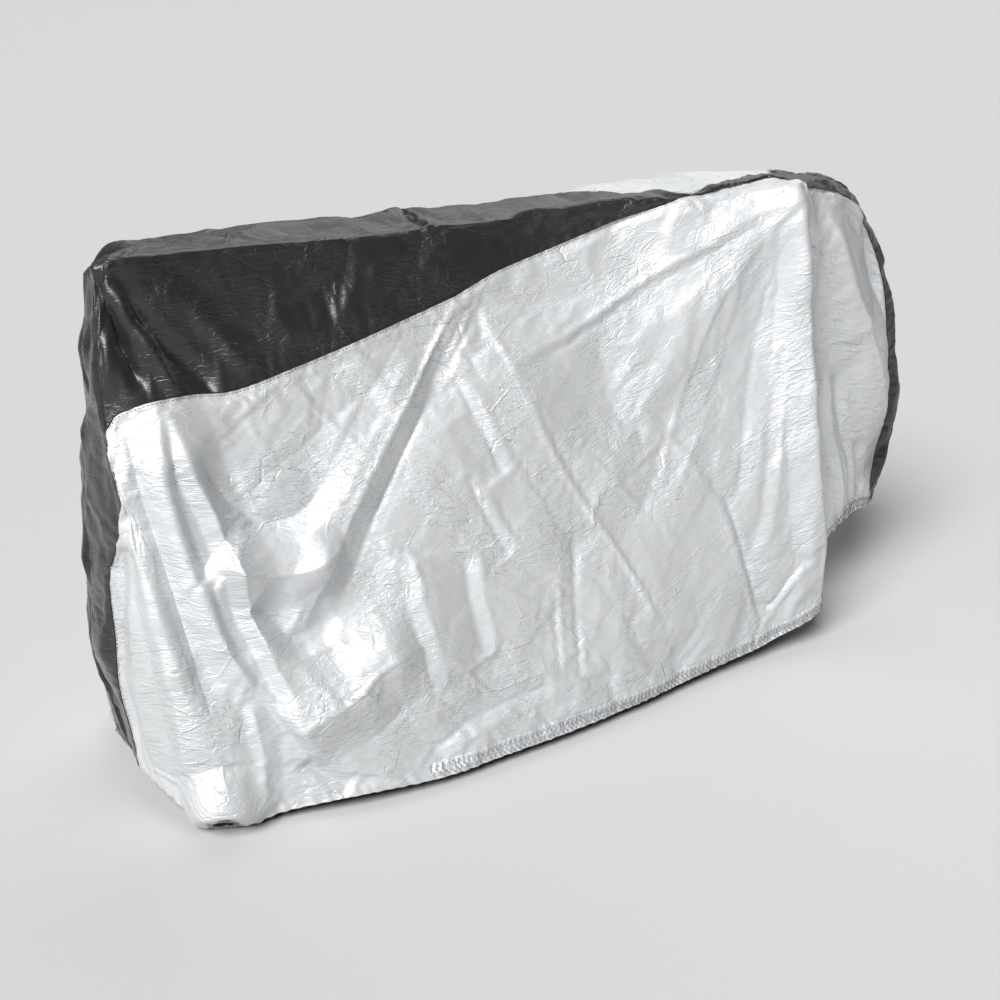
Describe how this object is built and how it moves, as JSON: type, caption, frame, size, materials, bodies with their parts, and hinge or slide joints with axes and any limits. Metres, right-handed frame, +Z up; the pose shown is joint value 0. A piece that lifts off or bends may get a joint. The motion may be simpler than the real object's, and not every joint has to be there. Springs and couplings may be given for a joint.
{
  "type": "bicycle cover",
  "caption": "Hooded fabric cover hanging over a bicycle, with silver side panels, a black gusset over the top and both ends, a gathered hem and a lock eyelet at a lower corner.",
  "frame": {"origin": "on the floor, under the middle of the cover's length and width", "axes": "+X towards the bicycle's front, where the hem is cut high; +Y across to the far side, away from the side with the lock eyelet; +Z up"},
  "size_m": [1.9903, 0.6769, 1.0592],
  "materials": {
    "silver_taffeta": "silver coated polyester taffeta with a soft sheen",
    "black_taffeta": "black polyester taffeta with a soft sheen",
    "eyelet_ring": "plated, satin"
  },
  "bodies": {
    "root": {"side_panel_near": "silver_taffeta", "side_panel_far": "silver_taffeta", "eyelet_patch": "silver_taffeta", "gusset_tail": "black_taffeta", "gusset_top": "black_taffeta", "gusset_nose": "black_taffeta", "eyelet_ring": "eyelet_ring"}
  },
  "joints": []
}
